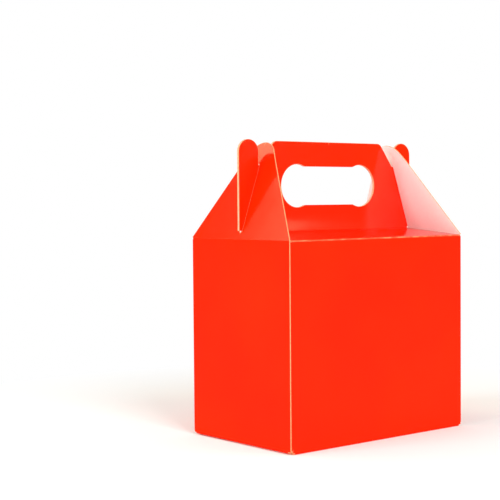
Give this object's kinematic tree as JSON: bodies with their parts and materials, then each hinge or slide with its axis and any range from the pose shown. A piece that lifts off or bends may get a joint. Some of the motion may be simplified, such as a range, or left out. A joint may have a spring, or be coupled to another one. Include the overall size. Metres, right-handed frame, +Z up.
{
  "type": "party food box",
  "caption": "Gable-top carton of glossy red-orange card with a hand hole, tall locking ears and hinged lock flaps at its sides",
  "frame": {"origin": "under the middle of the box, on the surface that it stands on", "axes": "X along the width, from the left side to the right, Y from the front to the back, Z up"},
  "size_m": [0.15, 0.094, 0.187],
  "materials": {
    "printed_card": "red-orange print under a gloss film on white folding card, with bare cream cut edges and a plain white inside"
  },
  "bodies": {
    "carton": {"carton": "printed_card"},
    "lock_flap_left": {"lock_flap_left": "printed_card"},
    "lock_flap_right": {"lock_flap_right": "printed_card"}
  },
  "joints": [
    {"name": "lock_flap_left_fold", "type": "hinge", "parent": "carton", "child": "lock_flap_left", "pos_m": [-0.075, 0, 0.126], "axis": [0, -1, 0], "range_deg": [0, 110], "deforming": ["lock_flap_left"]},
    {"name": "lock_flap_right_fold", "type": "hinge", "parent": "carton", "child": "lock_flap_right", "pos_m": [0.075, 0, 0.126], "axis": [0, 1, 0], "range_deg": [0, 110], "deforming": ["lock_flap_right"]}
  ]
}
